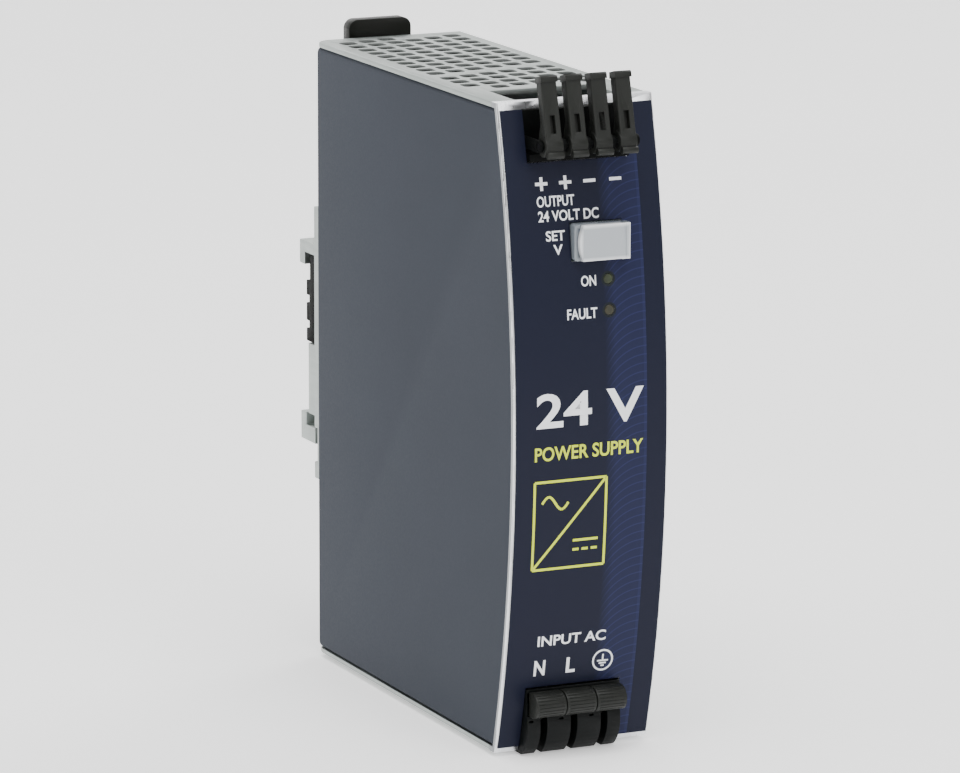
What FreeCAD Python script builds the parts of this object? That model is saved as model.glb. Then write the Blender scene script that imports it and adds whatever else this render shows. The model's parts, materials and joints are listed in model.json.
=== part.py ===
import FreeCAD, Part
import Sketcher
import math
import os
import re

# Rail-mounted power supply.
# Origin: middle of the width, on the front plane of the 35 mm top-hat rail's flanges, at the rail's
# centre line. +X right, +Y towards the rail's back, +Z up, so the front panel faces -Y.

DIMENSIONS = {
    # outer case
    "case_width": 32.0, "case_height": 124.0, "case_depth": 85.4, "front_bulge": 8.0,
    "foot_depth": 8.6, "cover_wall": 1.0, "side_wall": 1.5, "rear_wall": 2.0, "plate_wall": 1.0,
    "foil_wall": 0.25, "flange_reach": 2.4, "corner_round": 2.0, "plan_round": 3.0,
    # perforated grille
    "slot_width": 3.4, "slot_length": 3.3, "slot_round": 0.9, "slot_column_pitch": 4.58,
    "slot_row_pitch": 4.6, "slot_column_skew": 1.2, "slot_band_extra": 1.9,
    # output terminals, at the top
    "output_centre": -0.7, "output_pitch": 5.05, "output_block_width": 20.4,
    "output_pin_y": -101.0, "output_pin_z": 54.6, "output_pin_radius": 0.7,
    "output_hub_radius": 2.0, "output_lever_width": 3.4, "output_cheek_width": 0.9,
    # input terminals, at the bottom
    "input_centre": -1.25, "input_pitch": 6.3, "input_block_width": 19.4,
    "input_pin_y": -90.6, "input_pin_z": -56.8, "input_pin_radius": 0.8,
    "input_front_radius": 7.2, "input_head_width": 6.05, "input_stem_width": 1.1,
    "input_slot_width": 1.4, "input_head_gap": 0.25, "input_nose_radius": 2.35,
    "wire_entry": 3.4, "pin_clearance": 0.05,
    # adjuster flap, trimmer and status lights
    "flap_centre_x": 2.0, "flap_centre_z": 35.95, "flap_width": 10.4, "flap_height": 6.9,
    "flap_pin_x": 7.1, "flap_pin_y": -100.9, "flap_pin_radius": 0.4, "trimmer_size": 5.0,
    "trimmer_rotor_radius": 1.7, "light_x": 4.0, "ok_light_z": 28.7, "fault_light_z": 22.9,
    "light_radius": 1.0,
    # rail foot
    "bracket_width": 27.6, "bracket_height": 55.4, "bracket_wall": 1.0, "bracket_depth": 5.6,
    "rail_height": 35.0, "hook_gap": 1.7, "hook_reach": 4.3, "hook_width": 5.0, "hook_lip": 2.3,
    "slider_centre": -0.9, "slider_width": 13.4, "slider_front": -6.6, "slider_wall": 2.4,
    "slider_travel": 3.0, "tab_height": 3.2, "spring_x": 9.4, "spring_radius": 1.5,
    "spring_wire": 0.22, "spring_length": 14.0, "spring_turns": 7,
    # boards
    "board_wall": 1.6, "board_x": -12.9,
}

doc = FreeCAD.newDocument("rail_power_supply")
sheet = doc.addObject("Spreadsheet::Sheet", "params")
for row, (alias, value) in enumerate(DIMENSIONS.items(), start=1):
    sheet.set(f"A{row}", alias)
    sheet.set(f"B{row}", str(value))
    sheet.setAlias(f"B{row}", alias)
doc.recompute()

pieces = {}


# ---------------------------------------------------------------- helpers

def size(alias):
    """Value of one driving dimension, in millimetres."""
    return float(getattr(sheet, alias))


def bound(text):
    """An expression in which each driving dimension refers to its spreadsheet cell."""
    text = str(text)
    names = "|".join(sorted(DIMENSIONS, key=len, reverse=True))
    return re.sub(rf"\b({names})\b", r"params.\1", text)


def bind(thing, prop, text):
    thing.setExpression(prop, bound(text))


def put(thing, x, y, z):
    for axis, text in (("x", x), ("y", y), ("z", z)):
        bind(thing, f"Placement.Base.{axis}", text)


def keep(name, thing):
    """Registers a finished sub-part under its node name."""
    thing.Label = name
    pieces[name] = thing
    return thing


def box(x0, x1, y0, y1, z0, z1):
    """Box between low and high expressions on each axis."""
    made = doc.addObject("Part::Box", "block")
    bind(made, "Length", f"({x1})-({x0})")
    bind(made, "Width", f"({y1})-({y0})")
    bind(made, "Height", f"({z1})-({z0})")
    put(made, x0, y0, z0)
    return made


TURNS = {
    "x": FreeCAD.Rotation(FreeCAD.Vector(0, 1, 0), 90),
    "y": FreeCAD.Rotation(FreeCAD.Vector(1, 0, 0), -90),
    "z": FreeCAD.Rotation(),
}


def rod(radius, length, x, y, z, along="x"):
    """Cylinder that starts at (x, y, z) and runs along a positive axis."""
    made = doc.addObject("Part::Cylinder", "rod")
    made.Placement = FreeCAD.Placement(FreeCAD.Vector(), TURNS[along])
    bind(made, "Radius", radius)
    bind(made, "Height", length)
    put(made, x, y, z)
    return made


def ring(big, small, x, y, z, along="x"):
    made = doc.addObject("Part::Torus", "ring")
    made.Placement = FreeCAD.Placement(FreeCAD.Vector(), TURNS[along])
    bind(made, "Radius1", big)
    bind(made, "Radius2", small)
    put(made, x, y, z)
    return made


def join(*things):
    if len(things) == 1:
        return things[0]
    made = doc.addObject("Part::MultiFuse", "union")
    made.Shapes = list(things)
    made.Refine = True
    return made


def group(*things):
    """Separate solids that share one node."""
    made = doc.addObject("Part::Compound", "set")
    made.Links = list(things)
    return made


def cut(base, *tools):
    made = doc.addObject("Part::Cut", "difference")
    made.Base = base
    made.Tool = join(*tools)
    made.Refine = True
    return made


def rounded(thing, radius, wanted):
    """Part::Fillet on the edges of a thing that a test picks out."""
    doc.recompute()
    picked = [i + 1 for i, edge in enumerate(thing.Shape.Edges) if wanted(edge)]
    made = doc.addObject("Part::Fillet", "rounded")
    made.Base = thing
    made.Edges = [(number, radius, radius) for number in picked]
    return made


def runs_along(edge, axis):
    """True for a straight edge parallel to an axis, given as 0, 1 or 2."""
    box_of = edge.BoundBox
    spans = [box_of.XLength, box_of.YLength, box_of.ZLength]
    others = [span for i, span in enumerate(spans) if i != axis]
    return spans[axis] > 0.5 and max(others) < 1e-4


def near(edge, x=None, y=None, z=None, reach=0.02):
    middle = edge.BoundBox.Center
    wanted = ((x, middle.x), (y, middle.y), (z, middle.z))
    return all(want is None or abs(want - have) < reach for want, have in wanted)


def new_body(name):
    return doc.addObject("PartDesign::Body", name)


def plane(body, role):
    return [f for f in body.Origin.OriginFeatures if f.Role == role][0]


def sketch_on(body, role, offset="0"):
    """Sketch on an origin plane, moved along that plane's normal by an expression."""
    sketch = body.newObject("Sketcher::SketchObject", "outline")
    sketch.AttachmentSupport = [(plane(body, role), "")]
    sketch.MapMode = "FlatFace"
    bind(sketch, "AttachmentOffset.Base.z", offset)
    return sketch


def rectangle(body, role, x0, x1, y0, y1, offset="0"):
    """Fully dimensioned rectangle between expressions along the plane's own two axes."""
    sketch = sketch_on(body, role, offset)
    bind(sketch, "AttachmentOffset.Base.x", x0)
    bind(sketch, "AttachmentOffset.Base.y", y0)
    corners = [FreeCAD.Vector(*c, 0) for c in ((0, 0), (10, 0), (10, 10), (0, 10))]
    for i in range(4):
        sketch.addGeometry(Part.LineSegment(corners[i], corners[(i + 1) % 4]), False)
    for i in range(4):
        sketch.addConstraint(Sketcher.Constraint("Coincident", i, 2, (i + 1) % 4, 1))
    for i, kind in enumerate(("Horizontal", "Vertical", "Horizontal", "Vertical")):
        sketch.addConstraint(Sketcher.Constraint(kind, i))
    sketch.addConstraint(Sketcher.Constraint("Coincident", 0, 1, -1, 1))
    wide = sketch.addConstraint(Sketcher.Constraint("DistanceX", 0, 1, 0, 2, 10.0))
    tall = sketch.addConstraint(Sketcher.Constraint("DistanceY", 1, 1, 1, 2, 10.0))
    bind(sketch, f"Constraints[{wide}]", f"({x1})-({x0})")
    bind(sketch, f"Constraints[{tall}]", f"({y1})-({y0})")
    return sketch


def profile(body, role, edges, offset="0"):
    """Closed outline from ready edges, given in the plane's own two axes."""
    sketch = sketch_on(body, role, offset)
    for edge in edges:
        sketch.addGeometry(edge, False)
    return sketch


def pad(body, sketch, length):
    made = body.newObject("PartDesign::Pad", "pad")
    made.Profile = sketch
    bind(made, "Length", length)
    return made


def pocket(body, sketch, length):
    """Cut along the sketch's normal; the volume has to fall."""
    doc.recompute()
    before = body.Shape.Volume
    made = body.newObject("PartDesign::Pocket", "pocket")
    made.Profile = sketch
    made.Reversed = True
    bind(made, "Length", length)
    doc.recompute()
    if body.Shape.Volume > before - 1e-6:
        raise RuntimeError(f"{body.Name}: a pocket cut nothing")
    return made


def body_fillet(body, radius, wanted):
    """Rounds the edges of a body that a test picks out."""
    doc.recompute()
    base = body.Tip
    names = [f"Edge{i + 1}" for i, edge in enumerate(base.Shape.Edges) if wanted(edge)]
    made = body.newObject("PartDesign::Fillet", "fillet")
    made.Base = (base, names)
    made.Radius = radius
    doc.recompute()
    return made


def line(a, b):
    return Part.LineSegment(FreeCAD.Vector(*a, 0), FreeCAD.Vector(*b, 0))


def closed(points):
    """Straight edges round a list of corners."""
    return [line(points[i], points[(i + 1) % len(points)]) for i in range(len(points))]


def circle(across, up, radius):
    return Part.Circle(FreeCAD.Vector(across, up, 0), FreeCAD.Vector(0, 0, 1), radius)


def arc(a, through, b):
    return Part.Arc(*[FreeCAD.Vector(*p, 0) for p in (a, through, b)])


# ---------------------------------------------------------------- shared places

LEFT, RIGHT = "(-case_width/2)", "(case_width/2)"
TOP, BOTTOM = "(case_height/2)", "(-case_height/2)"
FRONT = "(-case_depth-foot_depth)"
REAR = "(-foot_depth)"

half_height = size("case_height") / 2
front_y = -size("case_depth") - size("foot_depth")
panel_radius = (size("front_bulge") ** 2 + half_height ** 2) / (2 * size("front_bulge"))
panel_centre = front_y - size("front_bulge") + panel_radius


def panel_y(z, inward=0.0):
    """Y of the front panel's arc at a height, a distance inside its outer surface."""
    return panel_centre - math.sqrt((panel_radius - inward) ** 2 - z ** 2)


def panel_strip(low, high, outside, inside):
    """Edges of a strip that follows the front arc between two depths below its surface."""
    middle = (low + high) / 2
    outer = [(panel_y(z, outside), z) for z in (low, middle, high)]
    inner = [(panel_y(z, inside), z) for z in (low, middle, high)]
    return [arc(*outer), line(outer[2], inner[2]), arc(*reversed(inner)), line(inner[0], outer[0])]


def wall_outline(inward, reach):
    """Side-view outline of a case wall: front arc, straight top, rear and bottom."""
    rear = -size("foot_depth")
    bow = [(panel_y(z, inward), z) for z in (-reach, 0, reach)]
    return [arc(*bow), line(bow[2], (rear, reach)), line((rear, reach), (rear, -reach)),
            line((rear, -reach), bow[0])]


front_skin = size("foil_wall") + size("plate_wall")

# ---------------------------------------------------------------- case

# Coated aluminium body: left side with the front arc, and the rear wall.
side_body = new_body("side_body")
inner_reach = half_height - size("cover_wall")
pad(side_body, profile(side_body, "YZ_Plane", wall_outline(front_skin + 0.05, inner_reach), LEFT),
    "side_wall")
pad(side_body, rectangle(side_body, "XZ_Plane", LEFT, f"{RIGHT}-cover_wall", f"{BOTTOM}+cover_wall",
                         f"{TOP}-cover_wall", "foot_depth"), "rear_wall")
body_fillet(side_body, size("corner_round"),
            lambda e: runs_along(e, 2) and near(e, x=-size("case_width") / 2, y=-size("foot_depth")))
body_fillet(side_body, 1.2,
            lambda e: abs(abs(e.BoundBox.Center.z) - inner_reach) < 0.01 and e.BoundBox.ZLength < 0.01
            and e.BoundBox.YMax > -size("foot_depth") - 0.01 and e.BoundBox.XLength > 20)
keep("side_body", side_body)

# Zinc-plated steel cover: top, right side and bottom from one folded sheet.
cover = new_body("cover")
plate_front = f"{FRONT}+flange_reach+0.1"
pad(cover, profile(cover, "YZ_Plane", wall_outline(front_skin + 0.05, half_height), f"{RIGHT}-cover_wall"),
    "cover_wall")
for low in (f"{TOP}-cover_wall", BOTTOM):
    pad(cover, rectangle(cover, "XY_Plane", LEFT, RIGHT, plate_front, REAR, low), "cover_wall")


def grille(rows_behind, rows_ahead, first_row):
    """Rounded slots in skewed columns, with one solid band across them."""
    edges = []
    columns = 6
    half_w = size("slot_width") / 2
    half_l = size("slot_length") / 2
    r = size("slot_round")
    for column in range(columns):
        x = (column - (columns - 1) / 2) * size("slot_column_pitch")
        shift = column * size("slot_column_skew")
        for row in range(-1, rows_behind + rows_ahead + 1):
            extra = size("slot_band_extra") if row >= rows_behind else 0.0
            y = first_row - row * size("slot_row_pitch") - extra + shift
            if not grille_rear_limit > y > grille_front_limit:
                continue
            edges += rounded_slot(x, y, half_w, half_l, r)
    return edges


def rounded_slot(x, y, half_w, half_l, r):
    bend = r * (1 - math.sqrt(0.5))
    edges = []
    corners = [(1, 1), (-1, 1), (-1, -1), (1, -1)]
    for i, (sx, sy) in enumerate(corners):
        nx, ny = corners[(i + 1) % 4]
        along_x = (x + sx * (half_w - r), y + sy * half_l)
        along_y = (x + sx * half_w, y + sy * (half_l - r))
        bulge = (x + sx * (half_w - bend), y + sy * (half_l - bend))
        start, end = (along_y, along_x) if i % 2 == 0 else (along_x, along_y)
        edges.append(arc(start, bulge, end))
        if i % 2 == 0:
            following = (x + nx * (half_w - r), y + ny * half_l)
        else:
            following = (x + nx * half_w, y + ny * (half_l - r))
        edges.append(line(end, following))
    return edges


grille_rear_limit = -size("foot_depth") - 3.4
grille_front_limit = front_y + 17.3
first_slot = -size("foot_depth") - 6.6
pocket(cover, profile(cover, "XY_Plane", grille(10, 4, first_slot), f"{BOTTOM}-1"), "case_height+2")
pocket(cover, rectangle(cover, "XY_Plane", "output_centre-output_block_width/2-0.3",
                        "output_centre+output_block_width/2+0.3", f"{plate_front}-1",
                        f"{FRONT}+13.8", f"{TOP}-cover_wall-0.5"), "2")
pocket(cover, rectangle(cover, "XY_Plane", "input_centre-input_block_width/2-0.3",
                        "input_centre+input_block_width/2+0.3", f"{plate_front}-1",
                        f"{FRONT}+15.6", f"{BOTTOM}-0.5"), "2")
for low in (f"{TOP}-cover_wall-0.05", f"{BOTTOM}-1"):
    pocket(cover, rectangle(cover, "XY_Plane", f"{RIGHT}-cover_wall-0.5", f"{RIGHT}+1", f"{FRONT}-front_bulge",
                            plate_front, low), "cover_wall+1.05")
body_fillet(cover, size("plan_round"),
            lambda e: runs_along(e, 2) and near(e, x=-size("case_width") / 2, y=-size("foot_depth")))
body_fillet(cover, 0.7, lambda e: runs_along(e, 1) and near(e, x=size("case_width") / 2)
            and abs(abs(e.BoundBox.Center.z) - half_height) < 0.01)
body_fillet(cover, 0.35, lambda e: runs_along(e, 1) and near(e, x=-size("case_width") / 2)
            and abs(abs(e.BoundBox.Center.z) - half_height) < 0.01)
keep("cover", cover)

# Bright aluminium front plate with a return flange at the top and at the bottom.
front_plate = new_body("front_plate")
foil = size("foil_wall")
pad(front_plate, profile(front_plate, "YZ_Plane", panel_strip(-half_height, half_height, foil, front_skin),
                         LEFT), "case_width")
for low in (f"{TOP}-plate_wall", BOTTOM):
    pad(front_plate, rectangle(front_plate, "XY_Plane", LEFT, RIGHT, f"{FRONT}+0.9",
                               f"{FRONT}+flange_reach", low), "plate_wall")


def front_openings(body, gap, start):
    """Cut-outs for both terminal blocks, the adjuster flap and the two status lights."""
    windows = (
        (f"output_centre-output_block_width/2-{gap}", f"output_centre+output_block_width/2+{gap}",
         f"51.0-{gap}", f"60.6+{gap}"),
        (f"input_centre-input_block_width/2-{gap}", f"input_centre+input_block_width/2+{gap}",
         f"{BOTTOM}-2", f"-49.3+{gap}"),
        (f"flap_centre_x-flap_width/2-{gap}", f"flap_centre_x+flap_width/2+{gap}",
         f"flap_centre_z-flap_height/2-{gap}", f"flap_centre_z+flap_height/2+{gap}"),
    )
    for window in windows:
        pocket(body, rectangle(body, "XZ_Plane", *window, start), "12")
    lights = []
    for height in ("ok_light_z", "fault_light_z"):
        lights.append(circle(size("light_x"), size(height), size("light_radius") + gap))
    pocket(body, profile(body, "XZ_Plane", lights, start), "12")


front_openings(front_plate, 0.12, f"-{FRONT}-3")
body_fillet(front_plate, 0.3, lambda e: e.BoundBox.ZLength > 100 and e.BoundBox.YMin < panel_y(0, foil) + 0.01
            and abs(abs(e.BoundBox.Center.x) - size("case_width") / 2) < 0.01)
keep("front_plate", front_plate)

# Printed front foil, a little smaller than the plate that it is stuck to.
front_foil = new_body("front_foil")
pad(front_foil, profile(front_foil, "YZ_Plane",
                        panel_strip(-half_height + 0.9, half_height - 1.4, 0.0, foil), f"{LEFT}+0.5"),
    "case_width-0.9")
front_openings(front_foil, 0.15, f"-{FRONT}-3")
keep("front_foil", front_foil)

# ---------------------------------------------------------------- output terminals

out_low = "output_centre-output_block_width/2"
out_high = "output_centre+output_block_width/2"
lever_count = 4
cheek_radius = 1.1
chambers = []
cheeks = []
for number in range(lever_count):
    middle = f"output_centre+({number}-1.5)*output_pitch"
    chambers.append(box(f"{middle}-wire_entry/2", f"{middle}+wire_entry/2", "-91.0", "-91.0+wire_entry",
                        "50.5", "62"))
    chambers.append(box(f"{middle}-wire_entry/2", f"{middle}+wire_entry/2", "-91.0", "-82.4", "48", "56"))
for number in range(lever_count + 1):
    middle = f"output_centre+({number}-2)*output_pitch"
    low, high = f"{middle}-output_cheek_width/2", f"{middle}+output_cheek_width/2"
    if number == 0:
        low, high = out_low, f"{out_low}+0.75"
    if number == lever_count:
        low, high = f"{out_high}-0.75", out_high
    cheeks.append(box(low, high, "output_pin_y", "-94.1", f"output_pin_z-{cheek_radius}",
                      f"output_pin_z+{cheek_radius}"))
    cheeks.append(rod(cheek_radius, f"({high})-({low})", low, "output_pin_y", "output_pin_z"))
sill = box(out_low, out_high, "-97.6", "-94.1", "51.1", "52.6")
trunk = box(out_low, out_high, "-94.2", "-80.5", "47", "60.3")
output_block = cut(join(trunk, sill, *cheeks), *chambers,
                   rod("output_pin_radius+0.02", "output_block_width+2", f"{out_low}-1", "output_pin_y",
                       "output_pin_z"))
keep("output_terminal_block", output_block)
keep("output_lever_pin", rod("output_pin_radius", "output_block_width-0.2", f"{out_low}+0.1",
                             "output_pin_y", "output_pin_z"))

pivot_y, pivot_z = size("output_pin_y"), size("output_pin_z")
foot_front = (pivot_y - 2.15, pivot_z - 0.7)
tip_front = (pivot_y + 1.1, pivot_z + 11.8)
lean = math.atan2(tip_front[0] - foot_front[0], tip_front[1] - foot_front[1])
lever_thickness = 1.9
cap_height = 1.15
foot_bar_radius = 0.7
foot_bar_place = (pivot_y - 2.05, pivot_z - 1.45)


def lever_point(along, back):
    """Point on an output lever: distance up its front face from the foot, and distance behind it."""
    return (foot_front[0] + along * math.sin(lean) + back * math.cos(lean),
            foot_front[1] + along * math.cos(lean) - back * math.sin(lean))


lever_length = math.hypot(tip_front[0] - foot_front[0], tip_front[1] - foot_front[1])


def output_lever(number):
    """Plate with a finger lip at the tip, a turning hub at the foot and a narrow probe window."""
    name = f"output_lever_{number + 1}"
    body = new_body(name)
    middle = f"output_centre+({number}-1.5)*output_pitch"
    start = f"{middle}-output_lever_width/2"
    blade = [lever_point(0, 0), lever_point(lever_length, 0), lever_point(lever_length, lever_thickness),
             lever_point(0, lever_thickness)]
    pad(body, profile(body, "YZ_Plane", closed(blade), f"{start}+0.1"), "output_lever_width-0.2")
    body_fillet(body, 0.25, lambda e: abs(e.Length - lever_length) < 0.01
                and e.BoundBox.YMin < foot_front[0] + 0.01)
    lip = [lever_point(lever_length - 0.05, -0.4), lever_point(lever_length + cap_height - 0.3, -0.4),
           lever_point(lever_length + cap_height, -0.1),
           lever_point(lever_length + cap_height, lever_thickness + 0.1),
           lever_point(lever_length - 0.05, lever_thickness + 0.3)]
    pad(body, profile(body, "YZ_Plane", closed(lip), start), "output_lever_width")
    hub = circle(pivot_y, pivot_z, size("output_hub_radius"))
    pad(body, profile(body, "YZ_Plane", [hub], start), "output_lever_width")
    foot_bar = circle(*foot_bar_place, foot_bar_radius)
    pad(body, profile(body, "YZ_Plane", [foot_bar], f"{start}+0.1"), "output_lever_width-0.2")
    gusset = closed([lever_point(7.6, 0.9), lever_point(0.9, 0.9), (pivot_y + 0.9, pivot_z - 0.9),
                     (pivot_y + 1.9, pivot_z + 0.9)])
    pad(body, profile(body, "YZ_Plane", gusset, f"{start}+0.1"), "output_lever_width-0.2")
    nose = closed([(pivot_y, pivot_z - 0.2), (pivot_y, pivot_z - 1.6), (pivot_y + 3.4, pivot_z - 1.2),
                   (pivot_y + 3.4, pivot_z - 0.2)])
    pad(body, profile(body, "YZ_Plane", nose, f"{middle}-0.6"), "1.2")
    bore = circle(pivot_y, pivot_z, size("output_pin_radius") + size("pin_clearance"))
    pocket(body, profile(body, "YZ_Plane", [bore], f"{start}-1"), "output_lever_width+2")
    sunk = 1.1
    window = closed([lever_point(3.3, -0.5), lever_point(6.7, -0.5), lever_point(6.7, sunk),
                     lever_point(3.3, sunk)])
    pocket(body, profile(body, "YZ_Plane", window, f"{middle}-0.53"), "1.06")
    return keep(name, body)


for number in range(lever_count):
    output_lever(number)


def clamp_spring(middle, width, back, top, tip_y, tip_z, wall=0.3):
    """V-shaped clamp spring bent from strip, as a swept section between two heights."""
    body = Part.makePolygon([FreeCAD.Vector(0, *p) for p in (
        (back, tip_z - 1.2), (back, top), (tip_y, tip_z), (tip_y + wall, tip_z - wall),
        (back - wall, top - 3 * wall), (back - wall, tip_z - 1.2), (back, tip_z - 1.2))])
    strip = Part.Face(body).extrude(FreeCAD.Vector(width, 0, 0))
    strip.translate(FreeCAD.Vector(middle - width / 2, 0, 0))
    return strip


def spring_set(name, centre, pitch, count, width, *shape):
    made = doc.addObject("Part::Feature", name)
    springs = [clamp_spring(centre + (i - (count - 1) / 2) * pitch, width, *shape) for i in range(count)]
    made.Shape = Part.makeCompound(springs)
    return keep(name, made)


spring_set("output_clamp_springs", size("output_centre"), size("output_pitch"), lever_count, 2.9,
           -82.6, 55.4, -89.0, 50.2)
output_bars = []
bar_slots = []
for number in range(lever_count):
    middle = f"output_centre+({number}-1.5)*output_pitch"
    output_bars.append(join(box(f"{middle}-1.5", f"{middle}+1.5", "-90.9", "-90.2", "48.1", "55.8"),
                            box(f"{middle}-0.5", f"{middle}+0.5", "-90.9", "-90.2", "43.5", "48.2")))
    bar_slots.append(box(f"{middle}-0.55", f"{middle}+0.55", "-90.95", "-90.15", "46", "48.5"))
output_block.Tool.Shapes = output_block.Tool.Shapes + bar_slots
keep("output_current_bars", group(*output_bars))

# ---------------------------------------------------------------- input terminals

in_low = "input_centre-input_block_width/2"
in_high = "input_centre+input_block_width/2"
pole_count = 3
hinge_y, hinge_z = size("input_pin_y"), size("input_pin_z")
block_bottom = "-62.6"
front_drum = rod("input_front_radius", "input_block_width", in_low, "input_pin_y", "input_pin_z")
core = box(in_low, in_high, "-96.0", "-78.6", block_bottom, "-49.6")
front_mask = box(in_low, in_high, "-99", "input_pin_y", block_bottom, "-54.7")
ribs = doc.addObject("Part::MultiCommon", "ribs")
ribs.Shapes = [front_drum, front_mask]
recess = cut(box(f"{in_low}+0.45", f"{in_high}-0.45", "-99", "-92", "-54.7", "-50.3"),
             rod("input_front_radius", "input_block_width+2", f"{in_low}-1", "input_pin_y", "input_pin_z"))
lip_y = "-97.3"
lip = box(in_low, in_high, lip_y, "-94", "-50.2", "-49.5")
ends = [box(in_low, f"{in_low}+0.42", "-97.0", "-94", "-54.7", "-49.6"),
        box(f"{in_high}-0.42", in_high, "-97.0", "-94", "-54.7", "-49.6")]
under_front = cut(box(f"{in_low}-1", f"{in_high}+1", "-99", "-92", "-64", "-54.69"),
                  rod("input_front_radius", "input_block_width+4", f"{in_low}-2", "input_pin_y",
                      "input_pin_z"))
slots = []
for number in range(pole_count):
    middle = f"input_centre+({number}-1)*input_pitch"
    slots.append(box(f"{middle}-input_slot_width/2", f"{middle}+input_slot_width/2", "-99", "-88.2",
                     "-64", "-50.25"))
    slots.append(box(f"{middle}-wire_entry/2", f"{middle}+wire_entry/2", "-84.6", "-84.6+wire_entry",
                     "-64", "-52"))
    slots.append(box(f"{middle}-wire_entry/2", f"{middle}+wire_entry/2", "-87.6", "-79.4",
                     "-58.6", "-50.6"))
    slots.append(box(f"{middle}-3.1", f"{middle}-2.2", "-99", "-97.0", "-55.85", "-55.4"))
input_block = cut(join(core, ribs, lip, *ends), recess, under_front, *slots,
                  rod("input_pin_radius+0.02", "input_block_width+2", f"{in_low}-1", "input_pin_y",
                      "input_pin_z"))
keep("input_terminal_block", input_block)
keep("input_lever_pin", rod("input_pin_radius", "input_block_width-0.2", f"{in_low}+0.1", "input_pin_y",
                            "input_pin_z"))

nose_r = size("input_nose_radius")
nose_y, nose_z = hinge_y - 8.45, hinge_z + 4.55
inner_r = size("input_front_radius") + size("input_head_gap")


head_back = float(lip_y) - 0.3


def on_drum(z):
    """Y of a head's hollow back, which follows the block's round front with a gap."""
    return min(hinge_y - math.sqrt(inner_r ** 2 - (z - hinge_z) ** 2), head_back)


def input_lever(number):
    """Rounded grip head with fine ribs, on a thin stem that turns in a slot of the block."""
    name = f"input_lever_{number + 1}"
    middle = f"input_centre+({number}-1)*input_pitch"
    body = new_body(f"{name}_solid")
    low, high = nose_z - nose_r, nose_z + nose_r
    turn = hinge_z + math.sqrt(inner_r ** 2 - (hinge_y - head_back) ** 2)
    middle_z = (low + turn) / 2
    drum_low, drum_middle = (on_drum(low), low), (on_drum(middle_z), middle_z)
    drum_high, back_high = (head_back, turn), (head_back, high)
    head = [arc((nose_y, high), (nose_y - nose_r, nose_z), (nose_y, low)), line((nose_y, low), drum_low),
            arc(drum_low, drum_middle, drum_high), line(drum_high, back_high), line(back_high, (nose_y, high))]
    pad(body, profile(body, "YZ_Plane", head, f"{middle}-input_head_width/2"), "input_head_width")
    stem = closed([(nose_y + 0.6, nose_z - 2.1), (nose_y + 1.0, nose_z + 1.2), (hinge_y - 0.3, hinge_z + 1.7),
                   (hinge_y - 0.8, hinge_z - 1.5)])
    pad(body, profile(body, "YZ_Plane", stem, f"{middle}-input_stem_width/2"), "input_stem_width")
    hub = circle(hinge_y, hinge_z, 1.9)
    pad(body, profile(body, "YZ_Plane", [hub], f"{middle}-input_stem_width/2"), "input_stem_width")
    bore = circle(hinge_y, hinge_z, size("input_pin_radius") + size("pin_clearance"))
    pocket(body, profile(body, "YZ_Plane", [bore], f"{middle}-input_stem_width"), "2*input_stem_width")
    grooves = []
    for step in range(9):
        angle = math.radians(-64 + 16 * step)
        grooves.append(circle(nose_y - nose_r * math.cos(angle), nose_z + nose_r * math.sin(angle), 0.11))
    pocket(body, profile(body, "YZ_Plane", grooves, f"{middle}-input_head_width/2+0.5"),
           "input_head_width-1.0")
    return keep(name, body)


for number in range(pole_count):
    input_lever(number)
spring_set("input_clamp_springs", size("input_centre"), size("input_pitch"), pole_count, 2.9,
           -79.6, -51.2, -83.6, -56.8)
input_bars = []
bar_slots = []
for number in range(pole_count):
    middle = f"input_centre+({number}-1)*input_pitch"
    input_bars.append(join(box(f"{middle}-1.5", f"{middle}+1.5", "-87.5", "-86.8", "-58.5", "-50.7"),
                           box(f"{middle}-0.5", f"{middle}+0.5", "-87.5", "-86.8", "-50.8", "-46")))
    bar_slots.append(box(f"{middle}-0.55", f"{middle}+0.55", "-87.55", "-86.75", "-51", "-49"))
input_block.Tool.Shapes = input_block.Tool.Shapes + bar_slots
keep("input_current_bars", group(*input_bars))

# ---------------------------------------------------------------- adjuster flap, trimmer, lights

flap_l, flap_r = "flap_centre_x-flap_width/2", "flap_centre_x+flap_width/2"
flap_b, flap_t = "flap_centre_z-flap_height/2", "flap_centre_z+flap_height/2"
flap_face = "flap_pin_y+0.1"
ear_wall = 0.55
barrel_radius = 0.85
frame_blank = box(flap_l, flap_r, flap_face, "-97.4", flap_b, flap_t)
frame_outer = rounded(frame_blank, 0.7, lambda e: runs_along(e, 1)
                      and near(e, x=size("flap_centre_x") - size("flap_width") / 2))
frame_inner = box(f"{flap_l}+0.9", f"{flap_r}-1.6", "-103", "-97", f"{flap_b}+0.8", f"{flap_t}-0.8")
knuckle_room = box("flap_pin_x-1.15", f"{flap_r}+1", "-103", "flap_pin_y+1.1", f"{flap_b}+{ear_wall}",
                   f"{flap_t}-{ear_wall}")
ears = []
for low in (flap_b, f"{flap_t}-{ear_wall}"):
    ears.append(rod(barrel_radius, ear_wall, "flap_pin_x", "flap_pin_y", low, "z"))
    ears.append(box(f"flap_pin_x-{barrel_radius}", flap_r, "flap_pin_y", "flap_pin_y+0.3", low,
                    f"{low}+{ear_wall}"))
keep("flap_frame", cut(join(frame_outer, *ears), frame_inner, knuckle_room,
                       rod("flap_pin_radius+0.02", "flap_height+2", "flap_pin_x", "flap_pin_y",
                           f"{flap_b}-1", "z")))
keep("flap_pin", rod("flap_pin_radius", "flap_height-0.2", "flap_pin_x", "flap_pin_y", f"{flap_b}+0.1", "z"))

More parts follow.
